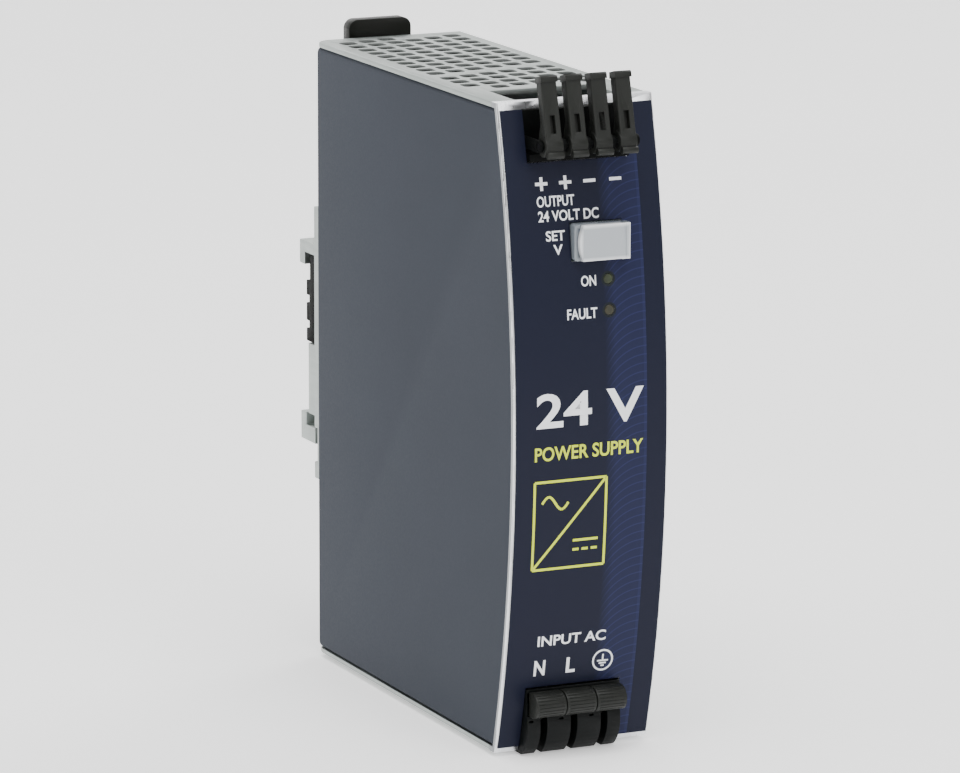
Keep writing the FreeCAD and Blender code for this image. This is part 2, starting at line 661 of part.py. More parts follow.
flap = new_body("adjuster_flap_solid")
lid_left = size("flap_centre_x") - size("flap_width") / 2 + 0.6
lid_right = size("flap_pin_x") - barrel_radius - 0.15
lid_low = size("flap_centre_z") - size("flap_height") / 2 + 0.05
lid_high = size("flap_centre_z") + size("flap_height") / 2 - 0.05
bow = 0.75
lid = [arc((lid_left + bow, lid_low), (lid_left, (lid_low + lid_high) / 2), (lid_left + bow, lid_high)),
       line((lid_left + bow, lid_high), (lid_right, lid_high)),
       line((lid_right, lid_high), (lid_right, lid_low)),
       line((lid_right, lid_low), (lid_left + bow, lid_low))]
pad(flap, profile(flap, "XZ_Plane", lid, "-flap_pin_y+0.05"), "1.15")
neck_low, neck_high = f"{flap_b}+{ear_wall}+0.1", f"{flap_t}-{ear_wall}-0.1"
pad(flap, rectangle(flap, "XZ_Plane", "flap_pin_x-1.4", "flap_pin_x", neck_low, neck_high, "-flap_pin_y+0.1"),
    "0.7")
barrel = circle(size("flap_pin_x"), size("flap_pin_y"), barrel_radius)
pad(flap, profile(flap, "XY_Plane", [barrel], neck_low), f"({neck_high})-({neck_low})")
flap_bore = circle(size("flap_pin_x"), size("flap_pin_y"), size("flap_pin_radius") + size("pin_clearance"))
pocket(flap, profile(flap, "XY_Plane", [flap_bore], f"{flap_b}-1"), "flap_height+2")
body_fillet(flap, 0.3, lambda e: near(e, y=size("flap_pin_y") - 1.2) and e.Length > 4
            and e.BoundBox.XMin < lid_right - 0.1)
hinge_cover = (f"{lid_right - 0.05}", "flap_pin_x+0.6", f"{lid_low}", f"{lid_high}")
pad(flap, rectangle(flap, "XZ_Plane", *hinge_cover, "-flap_pin_y+0.95"), "0.25")
pocket(flap, rectangle(flap, "XZ_Plane", "flap_pin_x-0.45", "flap_pin_x-0.2", f"{lid_low}-1", f"{lid_high}+1",
                       "-flap_pin_y+1.1"), "0.3")
keep("adjuster_flap", flap)

pot_x, pot_z = "flap_centre_x", "flap_centre_z"
rotor_face = -99.9
keep("trimmer_body", cut(box(f"{pot_x}-2.5", f"{pot_x}+2.4", "-99.2", "-95.6", f"{pot_z}-2.5", f"{pot_z}+2.5"),
                         rod("trimmer_rotor_radius+0.1", "2", pot_x, "-99.7", pot_z, "y")))
keep("trimmer_rotor", cut(rod("trimmer_rotor_radius", "2.05", pot_x, f"{rotor_face}", pot_z, "y"),
                          box(f"{pot_x}-1.4", f"{pot_x}+1.4", "-100.5", f"{rotor_face}+0.6", f"{pot_z}-0.28",
                              f"{pot_z}+0.28")))
keep("control_board", box("-13", "13", "-95.5", "-94.7", "12", "44"))
chips = []
for name, height in (("ok_light_pipe", "ok_light_z"), ("fault_light_pipe", "fault_light_z")):
    reach = -panel_y(size(height)) + 0.15
    pipe = rod("light_radius", f"{reach}-97.2", "light_x", f"-{reach}", height, "y")
    keep(name, rounded(pipe, 0.25, lambda e, reach=reach: abs(e.BoundBox.Center.y + reach) < 0.01))
    chips.append(box("light_x-0.9", "light_x+0.9", "-96.9", "-95.5", f"{height}-0.9", f"{height}+0.9"))
keep("status_leds", group(*chips))

# ---------------------------------------------------------------- rail foot

foot_l, foot_r = "(-bracket_width/2)", "(bracket_width/2)"
foot_z = "(bracket_height/2)"
web_back = "(-foot_depth+bracket_depth)"
edge_z = "(rail_height/2)"
bosses = [("slider_centre", "23"), ("slider_centre", "-9")]
screw_hole = 1.55

bracket = new_body("foot_bracket_solid")
pad(bracket, rectangle(bracket, "XZ_Plane", foot_l, foot_r, f"-{foot_z}", foot_z, f"-({web_back})"),
    "bracket_wall")
for low in (foot_l, f"{foot_r}-bracket_wall"):
    pad(bracket, rectangle(bracket, "YZ_Plane", "-foot_depth+0.05", web_back, f"-{foot_z}", foot_z, low),
        "bracket_wall")
pad(bracket, rectangle(bracket, "XY_Plane", foot_l, foot_r, f"{web_back}-0.1", "0", "-17.0"), "16.4")
for low in (foot_l, f"{foot_r}-hook_width"):
    pad(bracket, rectangle(bracket, "YZ_Plane", f"{web_back}-0.1", "hook_reach", f"{edge_z}+0.2",
                           f"{edge_z}+2.5", low), "hook_width")
    pad(bracket, rectangle(bracket, "YZ_Plane", "hook_gap", "hook_reach", f"{edge_z}-hook_lip",
                           f"{edge_z}+0.4", low), "hook_width")
shelf = rectangle(bracket, "XY_Plane", "spring_x-2.2", f"{foot_r}-0.2", "-foot_depth+0.05",
                  f"{web_back}-0.2", "-3.4")
pad(bracket, shelf, "1.4")
for x, z in bosses:
    boss = circle(size(x), float(z), 2.3)
    pad(bracket, profile(bracket, "XZ_Plane", [boss], f"-({web_back})"), "bracket_depth-0.05")
doc.recompute()
for x, z in bosses:
    hole = circle(size(x), float(z), screw_hole)
    pocket(bracket, profile(bracket, "XZ_Plane", [hole], "-1"), "foot_depth+1")
head_room = circle(size("slider_centre"), -9.0, 3.1)
pocket(bracket, profile(bracket, "XZ_Plane", [head_room], "-1"), f"1-({web_back})")
for low, high in ((f"{foot_l}-1", f"{foot_l}+hook_width+0.2"), (f"{foot_r}-hook_width-0.2", f"{foot_r}+1")):
    pocket(bracket, rectangle(bracket, "XZ_Plane", low, high, "-17.1", f"-{edge_z}+hook_lip+0.2", "-1"),
           f"1-({web_back})-0.02")
hook_slot = f"-{edge_z}-slider_travel-3.9"
for low, high in ((f"{foot_l}-1", f"{foot_l}+hook_width+0.3"), (f"{foot_r}-hook_width-0.3", f"{foot_r}+1")):
    pocket(bracket, rectangle(bracket, "XZ_Plane", low, high, hook_slot, f"-{edge_z}+0.15", f"-({web_back})-1"),
           "bracket_wall+1.4")
body_fillet(bracket, 0.4, lambda e: runs_along(e, 0) and near(e, y=size("hook_reach")))
keep("foot_bracket", bracket)

guide_pad = box(f"{foot_l}+0.3", f"{foot_r}-0.3", f"{web_back}+0.02", "0", "-0.4", f"{edge_z}-0.1")
guide_rib = box(f"{foot_l}+0.3", f"{foot_r}-0.3", "-0.1", "1.7", "-0.4", "12.0")
guide_groove = box(f"{foot_l}+4", f"{foot_r}-4", "-1", "3", "1.6", "10.2")
guide_notches = [box(f"{foot_l}-1", f"{foot_l}+1.6", "0.3", "3", f"{low}", f"{low}+1.6") for low in (2.2, 7.4)]
guide_hole = rod("3.1", "5", "slider_centre", "-3.2", "23", "y")
keep("rail_guide", cut(join(guide_pad, guide_rib), guide_groove, *guide_notches, guide_hole))

screws = []
for x, z in bosses:
    shank = rod("1.5", "8", x, f"-{size('foot_depth') + 2.4}", z, "y")
    head = rod("2.75", "1.7", x, f"{web_back}+0.02", z, "y")
    drive = box(f"{x}-0.4", f"{x}+0.4", f"{web_back}+1.1", f"{web_back}+2", f"{z}-1.6", f"{z}+1.6")
    drive_across = box(f"{x}-1.6", f"{x}+1.6", f"{web_back}+1.1", f"{web_back}+2", f"{z}-0.4", f"{z}+0.4")
    screws.append(cut(join(shank, head), drive, drive_across))
keep("foot_screws", group(*screws))
for x, z in bosses:
    hole = circle(size(x), float(z), screw_hole)
    pocket(side_body, profile(side_body, "XZ_Plane", [hole], "foot_depth-1"), "rear_wall+2")

slide_l, slide_r = "slider_centre-slider_width/2", "slider_centre+slider_width/2"
slide_back = "slider_front+slider_wall"
strap = box(f"{slide_l}+2.6", f"{slide_r}-2.6", "slider_front", slide_back, "-13.5", f"{TOP}-4")
tab_blank = box(slide_l, slide_r, "slider_front", f"{slide_back}+0.6", f"{TOP}-6", f"{TOP}+tab_height")
tab = rounded(tab_blank, 1.9, lambda e: runs_along(e, 1) and e.BoundBox.ZMax > half_height)
spring_arm = box("slider_centre", "spring_x+1.9", "slider_front", slide_back, "12", "13.6")
boss_slots = []
for x, z in bosses:
    boss_slots.append(box(f"{x}-2.5", f"{x}+2.5", "slider_front-1", f"{slide_back}+1", f"{z}-2.5",
                          f"{z}+2.5+slider_travel"))
keep("release_slider", cut(join(strap, tab, spring_arm), *boss_slots))

hook_top = f"-{edge_z}-0.2"
plate_low = f"-{edge_z}-3.4"
arms = []
for low in (f"{foot_l}+0.15", f"{foot_r}-hook_width-0.15+0.3"):
    high = f"{low}+hook_width-0.3"
    arms.append(box(low, high, "slider_front", "hook_reach", plate_low, hook_top))
    arms.append(box(low, high, "hook_gap", "hook_reach", f"{hook_top}-0.1", f"-{edge_z}+hook_lip"))
bridge = box(f"{foot_l}+1.3", f"{foot_r}-1.3", "slider_front", slide_back, plate_low, "-13.55")
keep("latch_hook", cut(join(bridge, *arms),
                       box(f"{foot_l}-1", f"{foot_l}+1.3", "-9", f"{web_back}+0.2", "-22", "-10"),
                       box(f"{foot_r}-1.3", f"{foot_r}+1", "-9", f"{web_back}+0.2", "-22", "-10")))

coil_path = Part.makeHelix(size("spring_length") / size("spring_turns") * 0.95, size("spring_length") - 0.7,
                           size("spring_radius"))
wire = Part.Wire(Part.makeCircle(size("spring_wire"), FreeCAD.Vector(size("spring_radius"), 0, 0),
                                 FreeCAD.Vector(0, 1, 0)))
coil = doc.addObject("Part::Feature", "coil")
coil.Shape = Part.Wire(coil_path).makePipeShell([wire], True, True)
coil.Placement = FreeCAD.Placement(FreeCAD.Vector(size("spring_x"), -6.3, -2.0 + 0.3), FreeCAD.Rotation())
keep("slider_spring", coil)

# ---------------------------------------------------------------- inside the case

board_face = "board_x+board_wall"
keep("main_board", box("board_x", board_face, "-92", "-11.6", "-59", "59"))
keep("insulation_sheet", box(f"{LEFT}+side_wall+0.1", f"{LEFT}+side_wall+0.5", "-91", "-11", "-60", "60"))

core_y0, core_y1, core_z0, core_z1 = -56.0, -30.0, -6.0, 22.0
core_block = box(f"{board_face}+1.5", "11.5", f"{core_y0}", f"{core_y1}", f"{core_z0}", f"{core_z1}")
core_windows = [box("-12", "13", f"{core_y0}+5", f"{core_y0}+9.5", f"{core_z0}+5", f"{core_z1}-5"),
                box("-12", "13", f"{core_y1}-9.5", f"{core_y1}-5", f"{core_z0}+5", f"{core_z1}-5")]
keep("transformer_core", cut(core_block, *core_windows))
coil_box = rounded(box(f"{board_face}+0.1", "13.4", f"{core_y0}+5.1", f"{core_y1}-5.1", f"{core_z0}+5.6",
                       f"{core_z1}-5.6"), 1.8, lambda e: runs_along(e, 2))
coil_hole = box(f"{board_face}+1.4", "11.6", f"{core_y0}+9.4", f"{core_y1}-9.4", f"{core_z0}", f"{core_z1}")
keep("transformer_winding", cut(coil_box, coil_hole))


def can(radius, length, x, y, z, along):
    """Electrolytic capacitor with the rolled groove near its seal."""
    can_body = rod(radius, length, x, y, z, along)
    shift = {"x": (f"{x}+2", y, z), "z": (x, y, f"{z}+2")}[along]
    return cut(can_body, ring(f"{radius}+0.3", "0.8", *shift, along))


keep("bulk_capacitor", can("9", "31", "-1.9", "-22", "-50", "z"))
keep("output_capacitors", group(*[can("5", "20", f"{board_face}+0.1", f"{y}", "46", "x")
                                  for y in (-68, -56.5, -45)]))
keep("choke_core", ring("7.5", "2.8", "1.5", "-66", "-30", "x"))
winding = []
for low in ("-38", "-28.6"):
    shell = doc.addObject("Part::MultiCommon", "winding")
    shell.Shapes = [ring("7.5", "3.9", "1.5", "-66", "-30", "x"),
                    box("-4", "8", "-80", "-52", low, f"{low}+6.6")]
    winding.append(cut(shell, ring("7.5", "2.82", "1.5", "-66", "-30", "x")))
keep("choke_windings", group(*winding))
keep("line_capacitor", rounded(box(f"{board_face}+0.1", "3", "-49", "-38", "-58", "-40"), 0.8,
                               lambda e: e.Length > 5))
keep("line_fuse", rod("2.5", "18", "-6", "-77", "-40", "z"))
keep("fuse_caps", group(*[cut(rod("2.9", "5", "-6", "-77", f"{z}", "z"),
                              rod("2.52", "30", "-6", "-77", "-44", "z")) for z in (-41.5, -25.5)]))
keep("bridge_rectifier", box(f"{board_face}+0.1", "8", "-48", "-44", "-34", "-12"))
sink_base = box("12.2", "14.6", "-60", "-14", "24", "56")
fins = [box("6.2", "12.3", f"{-58.5 + 6.5 * i}", f"{-57.0 + 6.5 * i}", "26", "38") for i in range(7)]
keep("heat_sink", join(sink_base, *fins))
keep("power_transistors", group(*[box("7.4", "12.15", f"{y}", f"{y + 10}", "39.5", "54.5")
                                  for y in (-38.0, -26.0)]))
inductor = cut(rod("8", "9", f"{board_face}+1", "-76", "20", "x"), rod("3.2", "12", "-12", "-76", "20", "x"))
keep("output_inductor", rounded(inductor, 1.2, lambda e: e.Length > 40))
keep("optocouplers", group(*[box(f"{board_face}+0.1", "-8.6", "-26", "-19.5", f"{z}", f"{z + 4.6}")
                             for z in (2.0, 9.0)]))
rear_screw_x = 9.5
rear_screw_heights = (52.0, -52.0)
cover_screws = []
for z in rear_screw_heights:
    tapered = doc.addObject("Part::Cone", "screw_head")
    tapered.Placement = FreeCAD.Placement(FreeCAD.Vector(), TURNS["y"])
    bind(tapered, "Radius1", "1.5")
    bind(tapered, "Radius2", "2.6")
    bind(tapered, "Height", "1.1")
    put(tapered, rear_screw_x, f"{REAR}-1.05", z)
    shank = rod("1.5", "6", rear_screw_x, f"{REAR}-6.5", z, "y")
    upright = box(f"{rear_screw_x}-0.4", f"{rear_screw_x}+0.4", f"{REAR}-0.5", f"{REAR}+1",
                  f"{z}-1.5", f"{z}+1.5")
    level = box(f"{rear_screw_x}-1.5", f"{rear_screw_x}+1.5", f"{REAR}-0.5", f"{REAR}+1",
                f"{z}-0.4", f"{z}+0.4")
    cover_screws.append(cut(join(tapered, shank), upright, level))
keep("rear_screws", group(*cover_screws))
for z in rear_screw_heights:
    head_hole = circle(rear_screw_x, z, 2.65)
    pocket(side_body, profile(side_body, "XZ_Plane", [head_hole], "foot_depth-1"), "2.15")
    bore = circle(rear_screw_x, z, screw_hole)
    pocket(side_body, profile(side_body, "XZ_Plane", [bore], "foot_depth-1"), "rear_wall+2")

# ---------------------------------------------------------------- checks and export

doc.recompute()
bad = [thing.Name for thing in doc.Objects if set(thing.State) & {"Invalid", "Error"}]
for name, thing in pieces.items():
    shape = thing.Shape
    if shape.isNull() or not shape.isValid() or not shape.Solids:
        bad.append(name)
if bad:
    raise RuntimeError(f"failed objects: {bad}")

os.makedirs("parts", exist_ok=True)
for name, thing in pieces.items():
    thing.Shape.exportStep(f"parts/{name}.step")
print(len(pieces), "sub-parts written")
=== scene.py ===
import json
import math

import bmesh
import bpy
from mathutils import Matrix, Vector


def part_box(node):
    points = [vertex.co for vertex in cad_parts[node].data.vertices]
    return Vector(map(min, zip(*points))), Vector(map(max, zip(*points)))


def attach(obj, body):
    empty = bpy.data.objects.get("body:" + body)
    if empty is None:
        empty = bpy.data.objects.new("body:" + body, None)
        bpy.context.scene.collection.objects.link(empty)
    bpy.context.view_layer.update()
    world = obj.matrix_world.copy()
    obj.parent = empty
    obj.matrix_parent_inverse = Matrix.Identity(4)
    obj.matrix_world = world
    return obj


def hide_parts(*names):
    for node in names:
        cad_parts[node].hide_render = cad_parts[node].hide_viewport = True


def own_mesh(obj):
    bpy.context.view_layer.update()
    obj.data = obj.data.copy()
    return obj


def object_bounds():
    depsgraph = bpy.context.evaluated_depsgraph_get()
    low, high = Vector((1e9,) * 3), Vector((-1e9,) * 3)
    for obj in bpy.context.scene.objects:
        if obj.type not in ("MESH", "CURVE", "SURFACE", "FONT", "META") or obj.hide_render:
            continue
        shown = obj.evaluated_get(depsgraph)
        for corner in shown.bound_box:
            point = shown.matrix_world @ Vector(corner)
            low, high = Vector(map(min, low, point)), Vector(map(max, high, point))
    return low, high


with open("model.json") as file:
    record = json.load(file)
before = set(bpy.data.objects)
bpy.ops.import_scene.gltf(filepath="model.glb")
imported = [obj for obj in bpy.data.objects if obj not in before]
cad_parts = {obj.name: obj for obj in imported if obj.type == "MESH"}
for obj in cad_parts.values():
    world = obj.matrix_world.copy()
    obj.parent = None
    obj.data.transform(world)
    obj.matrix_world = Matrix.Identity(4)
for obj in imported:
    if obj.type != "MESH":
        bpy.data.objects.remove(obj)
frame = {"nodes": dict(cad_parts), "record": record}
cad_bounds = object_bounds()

MM = 0.001

# ---------------------------------------------------------------- camera, floor and light

AZIMUTH, ELEVATION, ROLL = math.radians(-24.79), math.radians(11.92), math.radians(0.135)
TARGET = Vector((-1.9, -56.4, 0.24)) * MM
DISTANCE = 1.1348
LENS = 220.35


def back_from(azimuth, elevation):
    """Direction from the object to a viewer at an azimuth (0 looks along +Y) and an elevation."""
    return Vector((math.sin(azimuth) * math.cos(elevation), -math.cos(azimuth) * math.cos(elevation),
                   math.sin(elevation)))


def aimed(obj, place, target, roll=0.0):
    """Puts an object at a place, with its -Z axis towards a target."""
    obj.location = place
    turn = (target - place).to_track_quat("-Z", "Y").to_matrix() @ Matrix.Rotation(roll, 3, "Z")
    obj.rotation_euler = turn.to_euler()


def add_camera():
    data = bpy.data.cameras.new("view")
    data.lens = LENS
    data.sensor_width = 36.0
    data.clip_end = 20.0
    camera = bpy.data.objects.new("view", data)
    bpy.context.collection.objects.link(camera)
    aimed(camera, TARGET + back_from(AZIMUTH, ELEVATION) * DISTANCE, TARGET, ROLL)
    bpy.context.scene.camera = camera


def add_area(name, azimuth, elevation, distance, width, height, power):
    """White soft box aimed at the object: angles in degrees, distance and size in metres, power in watts."""
    data = bpy.data.lights.new(name, "AREA")
    data.shape = "RECTANGLE"
    data.size, data.size_y = width, height
    data.energy = power
    lamp = bpy.data.objects.new(name, data)
    bpy.context.collection.objects.link(lamp)
    middle = Vector((0, -0.05, 0))
    aimed(lamp, middle + back_from(math.radians(azimuth), math.radians(elevation)) * distance, middle)


def add_studio():
    add_area("key_top", -20, 72, 1.3, 1.1, 1.1, 22)
    add_area("side_left", -100, 20, 1.4, 0.9, 1.2, 8)
    add_area("front_fill", 12, 25, 1.6, 0.9, 0.9, 7)
    add_area("rim_right", 120, 35, 1.4, 0.6, 1.0, 8)
    add_area("back_fill", 180, 40, 1.6, 1.0, 0.8, 5)
    world = bpy.data.worlds.new("studio")
    world.use_nodes = True
    world.node_tree.nodes["Background"].inputs["Color"].default_value = (1, 1, 1, 1)
    world.node_tree.nodes["Background"].inputs["Strength"].default_value = 0.4
    bpy.context.scene.world = world


def add_floor():
    """Pale floor that bends up into a backdrop, well behind the object."""
    low = cad_bounds[0][2] - 0.3 * MM
    front, half_width, turn_y, turn_r, top, steps = -2.5, 3.0, 0.9, 0.5, 2.2, 12
    line = [(front, low), (turn_y, low)]
    for i in range(1, steps + 1):
        angle = math.pi / 2 * i / steps
        line.append((turn_y + turn_r * math.sin(angle), low + turn_r * (1 - math.cos(angle))))
    line.append((turn_y + turn_r, top))
    points = [Vector((x, y, z)) for x in (-half_width, half_width) for y, z in line]
    count = len(line)
    faces = [(i, i + 1, count + i + 1, count + i) for i in range(count - 1)]
    mesh = bpy.data.meshes.new("floor")
    mesh.from_pydata(points, [], faces)
    mesh.shade_smooth()
    floor = bpy.data.objects.new("floor", mesh)
    bpy.context.collection.objects.link(floor)
    paper = surface("floor_paper", (0.88, 0.88, 0.88), rough=0.9, blotch=(8, 0.01), grain=(250, 0.02, 0.01))
    shader = paper.node_tree.nodes["Principled BSDF"]
    shader.inputs["Emission Color"].default_value = (1, 1, 1, 1)
    shader.inputs["Emission Strength"].default_value = 0.5
    mesh.materials.append(paper)


# ---------------------------------------------------------------- materials

MOULDED_GRAIN = (3000, 0.08, 0.02)


def tree_of(name):
    material = bpy.data.materials.new(name)
    material.use_nodes = True
    nodes = material.node_tree.nodes
    return material, nodes, material.node_tree.links, nodes["Principled BSDF"]


def noise(nodes, links, scale, detail=3.0, stretch=(1, 1, 1)):
    place = nodes.new("ShaderNodeTexCoord")
    mapping = nodes.new("ShaderNodeMapping")
    mapping.inputs["Scale"].default_value = stretch
    made = nodes.new("ShaderNodeTexNoise")
    made.inputs["Scale"].default_value = scale
    made.inputs["Detail"].default_value = detail
    links.new(place.outputs["Object"], mapping.inputs["Vector"])
    links.new(mapping.outputs["Vector"], made.inputs["Vector"])
    return made


def spread(nodes, links, source, low, high, start=0.3, end=0.7):
    """Turns the middle of a 0-1 texture value, from start to end, into the range from low to high."""
    made = nodes.new("ShaderNodeMapRange")
    made.inputs["From Min"].default_value = start
    made.inputs["From Max"].default_value = end
    made.inputs["To Min"].default_value = low
    made.inputs["To Max"].default_value = high
    links.new(source, made.inputs["Value"])
    return made.outputs["Result"]


def surface(name, color, rough=0.5, metal=0.0, blotch=(60, 0.06), grain=(2500, 0.05, 0.02),
            stretch=(1, 1, 1), through=0.0, coat=0.0, ior=1.5, shine=0.5):
    """General procedural surface: soft blotches of colour, fine grain in roughness and in bump.

    blotch is their scale and strength; grain is its scale, its part of the roughness and its depth in mm.
    """
    material, nodes, links, shader = tree_of(name)
    shader.inputs["Metallic"].default_value = metal
    shader.inputs["IOR"].default_value = ior
    shader.inputs["Coat Weight"].default_value = coat
    shader.inputs["Transmission Weight"].default_value = through
    shader.inputs["Specular IOR Level"].default_value = shine
    clouds = noise(nodes, links, blotch[0])
    shade = spread(nodes, links, clouds.outputs["Fac"], 1 - blotch[1], 1 + blotch[1])
    tint = nodes.new("ShaderNodeVectorMath")
    tint.operation = "SCALE"
    tint.inputs[0].default_value = color
    links.new(shade, tint.inputs["Scale"])
    links.new(tint.outputs["Vector"], shader.inputs["Base Color"])
    fine = noise(nodes, links, grain[0], 2.0, stretch)
    links.new(spread(nodes, links, fine.outputs["Fac"], rough - grain[1], rough + grain[1]),
              shader.inputs["Roughness"])
    bump = nodes.new("ShaderNodeBump")
    bump.inputs["Strength"].default_value = 0.5
    bump.inputs["Distance"].default_value = grain[2] * MM
    links.new(fine.outputs["Fac"], bump.inputs["Height"])
    links.new(bump.outputs["Normal"], shader.inputs["Normal"])
    return material


def math_node(nodes, links, operation, a, b=0.0, c=0.0, clamp=False):
    made = nodes.new("ShaderNodeMath")
    made.operation = operation
    made.use_clamp = clamp
    for socket, value in zip(made.inputs, (a, b, c)):
        if isinstance(value, (int, float)):
            socket.default_value = value
        else:
            links.new(value, socket)
    return made.outputs[0]


def foil_material():
    """Navy foil with a lighter violet band of fine arcs down its right side."""
    material, nodes, links, shader = tree_of("front_foil_print")
    place = nodes.new("ShaderNodeTexCoord")
    parts = nodes.new("ShaderNodeSeparateXYZ")
    links.new(place.outputs["Object"], parts.inputs["Vector"])
    x, z = parts.outputs["X"], parts.outputs["Z"]

    def m(operation, a, b=0.0, c=0.0, clamp=False):
        return math_node(nodes, links, operation, a, b, c, clamp)

    band_left, band_right, arc_radius, arc_pitch = 3.0 * MM, 11.5 * MM, 9.2 * MM, 1.62 * MM
    fade = m("DIVIDE", m("SUBTRACT", x, band_left), 2.2 * MM, clamp=True)
    inside = m("MULTIPLY", fade, m("LESS_THAN", x, band_right))
    run = m("SUBTRACT", band_right, x)
    drop = m("SQRT", m("SUBTRACT", arc_radius ** 2, m("MULTIPLY", run, run)))
    turn = m("PINGPONG", m("SUBTRACT", z, drop), arc_pitch / 2)
    width = m("DIVIDE", m("MULTIPLY", turn, drop), arc_radius)
    lines = m("SUBTRACT", 1.0, m("DIVIDE", width, 0.16 * MM), clamp=True)
    edge = m("COMPARE", x, band_right - 0.3 * MM, 0.3 * MM)
    glow = m("MULTIPLY", inside, m("ADD", 0.38, m("MULTIPLY", lines, 0.58)))
    glow = m("ADD", glow, m("MULTIPLY", edge, 0.2), clamp=True)
    tone = nodes.new("ShaderNodeMix")
    tone.data_type = "RGBA"
    tone.inputs["A"].default_value = (0.0085, 0.0102, 0.0228, 1)
    tone.inputs["B"].default_value = (0.0210, 0.0255, 0.080, 1)
    links.new(glow, tone.inputs["Factor"])
    links.new(tone.outputs["Result"], shader.inputs["Base Color"])
    fine = noise(nodes, links, 3500, 2.0)
    links.new(spread(nodes, links, fine.outputs["Fac"], 0.34, 0.44), shader.inputs["Roughness"])
    bump = nodes.new("ShaderNodeBump")
    bump.inputs["Strength"].default_value = 0.35
    bump.inputs["Distance"].default_value = 0.01 * MM
    links.new(fine.outputs["Fac"], bump.inputs["Height"])
    links.new(bump.outputs["Normal"], shader.inputs["Normal"])
    shader.inputs["Specular IOR Level"].default_value = 0.12
    return material


def zinc_material(name, color, rough):
    """Zinc-plated sheet: faint crystal patches under a fine drawn grain."""
    material, nodes, links, shader = tree_of(name)
    shader.inputs["Metallic"].default_value = 1.0
    crystals = nodes.new("ShaderNodeTexVoronoi")
    crystals.inputs["Scale"].default_value = 260
    place = nodes.new("ShaderNodeTexCoord")
    links.new(place.outputs["Object"], crystals.inputs["Vector"])
    cell = nodes.new("ShaderNodeSeparateColor")
    links.new(crystals.outputs["Color"], cell.inputs["Color"])
    clouds = noise(nodes, links, 45)
    shade = math_node(nodes, links, "ADD", spread(nodes, links, clouds.outputs["Fac"], 0.94, 1.03),
                      spread(nodes, links, cell.outputs["Red"], -0.02, 0.02, 0, 1))
    tint = nodes.new("ShaderNodeVectorMath")
    tint.operation = "SCALE"
    tint.inputs[0].default_value = color
    links.new(shade, tint.inputs["Scale"])
    links.new(tint.outputs["Vector"], shader.inputs["Base Color"])
    fine = noise(nodes, links, 900, 3.0, (1, 0.08, 1))
    links.new(spread(nodes, links, fine.outputs["Fac"], rough - 0.06, rough + 0.08),
              shader.inputs["Roughness"])
    bump = nodes.new("ShaderNodeBump")
    bump.inputs["Strength"].default_value = 0.4
    bump.inputs["Distance"].default_value = 0.006 * MM
    links.new(fine.outputs["Fac"], bump.inputs["Height"])
    links.new(bump.outputs["Normal"], shader.inputs["Normal"])
    return material


def punched_material():
    """Wall of a punched slot: light burnished band at the outer face, with the broken band below it painted
    near-black as shade inside the slot.
    """
    material, nodes, links, shader = tree_of("punched_edge_painted_shade")
    place = nodes.new("ShaderNodeTexCoord")
    parts = nodes.new("ShaderNodeSeparateXYZ")
    links.new(place.outputs["Object"], parts.inputs["Vector"])
    height = math_node(nodes, links, "ABSOLUTE", parts.outputs["Z"])
    ragged = noise(nodes, links, 900)
    break_low, break_high, change = 61.50 * MM, 61.62 * MM, 0.12 * MM
    limit = spread(nodes, links, ragged.outputs["Fac"], break_low, break_high)
    above = math_node(nodes, links, "SUBTRACT", height, limit)
    burnish_over_painted_shade = math_node(nodes, links, "DIVIDE", above, change, clamp=True)
    tone = nodes.new("ShaderNodeMix")
    tone.data_type = "RGBA"
    # Tone A is painted shade: the broken band inside the slot is coloured near-black.
    tone.inputs["A"].default_value = (0.008, 0.008, 0.008, 1)
    tone.inputs["B"].default_value = (0.15, 0.16, 0.155, 1)
    links.new(burnish_over_painted_shade, tone.inputs["Factor"])
    links.new(tone.outputs["Result"], shader.inputs["Base Color"])
    links.new(spread(nodes, links, ragged.outputs["Fac"], 0.5, 0.65), shader.inputs["Roughness"])
    shader.inputs["Specular IOR Level"].default_value = 0.15
    return material


def lid_material():
    """Milky flap lid with a painted highlight: its base colour is much lighter along its rim."""
    material, nodes, links, shader = tree_of("flap_lid")
    place = nodes.new("ShaderNodeTexCoord")
    parts = nodes.new("ShaderNodeSeparateXYZ")
    links.new(place.outputs["Object"], parts.inputs["Vector"])

    def m(operation, a, b=0.0, c=0.0, clamp=False):
        return math_node(nodes, links, operation, a, b, c, clamp)

    low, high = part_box("adjuster_flap")
    rim = 0.75 * MM
    gaps = []
    for axis, output in ((0, "X"), (2, "Z")):
        middle, half = (low[axis] + high[axis]) / 2, (high[axis] - low[axis]) / 2
        gaps.append(m("SUBTRACT", half, m("ABSOLUTE", m("SUBTRACT", parts.outputs[output], middle))))
    painted_rim_highlight = m("SUBTRACT", 1.0, m("DIVIDE", m("MINIMUM", gaps[0], gaps[1]), rim), clamp=True)
    tone = nodes.new("ShaderNodeMix")
    tone.data_type = "RGBA"
    # Tone B is a painted highlight along the rim's rounded edges; tone A is the lid's own milky colour.
    tone.inputs["A"].default_value = (0.40, 0.43, 0.46, 1)
    tone.inputs["B"].default_value = (0.92, 0.93, 0.95, 1)
    links.new(painted_rim_highlight, tone.inputs["Factor"])
    links.new(tone.outputs["Result"], shader.inputs["Base Color"])
    fine = noise(nodes, links, 1200, 2.0)
    links.new(spread(nodes, links, fine.outputs["Fac"], 0.13, 0.19), shader.inputs["Roughness"])
    shader.inputs["Transmission Weight"].default_value = 0.15
    shader.inputs["Coat Weight"].default_value = 0.4
    shader.inputs["IOR"].default_value = 1.58
    return material


